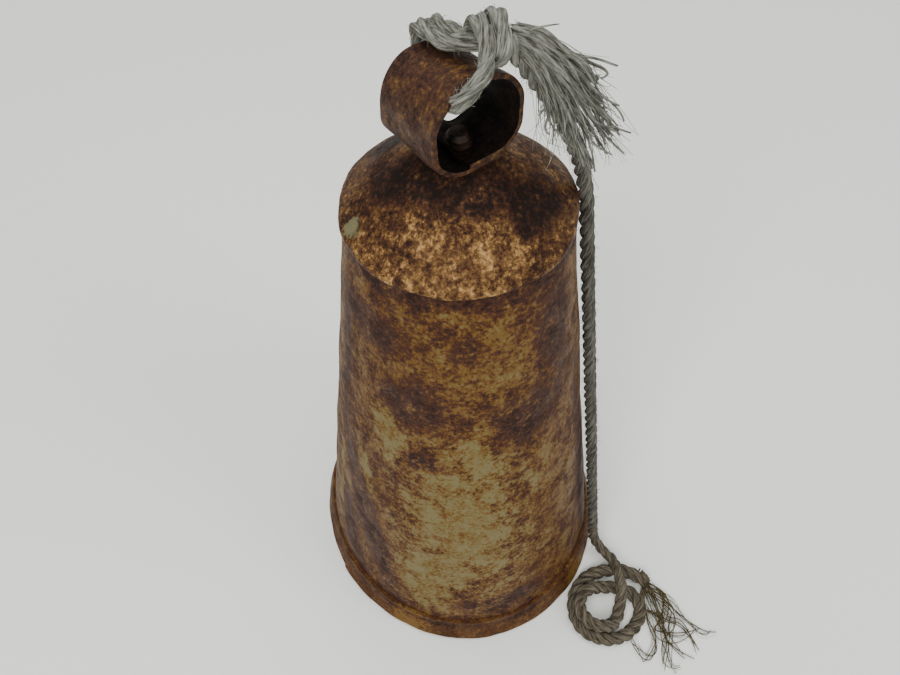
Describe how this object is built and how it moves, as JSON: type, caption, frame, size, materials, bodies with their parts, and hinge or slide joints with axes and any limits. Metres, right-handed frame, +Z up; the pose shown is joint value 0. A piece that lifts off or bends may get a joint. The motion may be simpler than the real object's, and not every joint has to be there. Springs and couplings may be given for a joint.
{
  "type": "yard dinner bell",
  "caption": "Tall tapered sheet-metal bell with a domed cap, flared mouth band, strap ring, hung wooden clapper and a short rope.",
  "frame": {"origin": "centre of the mouth plane, on the surface the bell stands on", "axes": "+Z up from the mouth to the strap ring; +Y along the hole of the ring, away from the knot"},
  "size_m": [0.1884, 0.282, 0.3867],
  "materials": {
    "coated_iron": "brass-coated sheet iron, weathered brown, olive and gold, matt",
    "strap_iron": "dark brown weathered strap iron with rust, matt",
    "hanger_iron": "dark wrought iron, dull",
    "turned_wood": "turned hardwood, unvarnished, worn",
    "rope": "weathered three-strand plant-fibre rope, grey-brown, matt"
  },
  "bodies": {
    "bell": {"bell_body": "coated_iron", "mouth_band": "coated_iron", "crown_cap": "coated_iron", "handle_strap": "strap_iron", "hanger_washer_top": "hanger_iron", "hanger_washer_under": "hanger_iron", "rope_turn_left": "rope", "rope_turn_right": "rope", "rope_knot": "rope", "rope_tail": "rope", "rope_fall": "rope", "rope_coil": "rope", "rope_end": "rope", "rope_yarns": "rope"},
    "hanger": {"hanger_eye": "hanger_iron"},
    "clapper": {"clapper_rod": "hanger_iron", "clapper_knob": "turned_wood", "clapper_washer": "hanger_iron"}
  },
  "joints": [
    {"name": "hanger_swivel", "type": "hinge", "parent": "bell", "child": "hanger", "pos_m": [0, 0, 0.32], "axis": [0, 0, 1], "continuous": true},
    {"name": "clapper_swing", "type": "hinge", "parent": "hanger", "child": "clapper", "pos_m": [0, 0, 0.30415], "axis": [1, 0, 0], "range_deg": [-13.5, 13.5]}
  ]
}
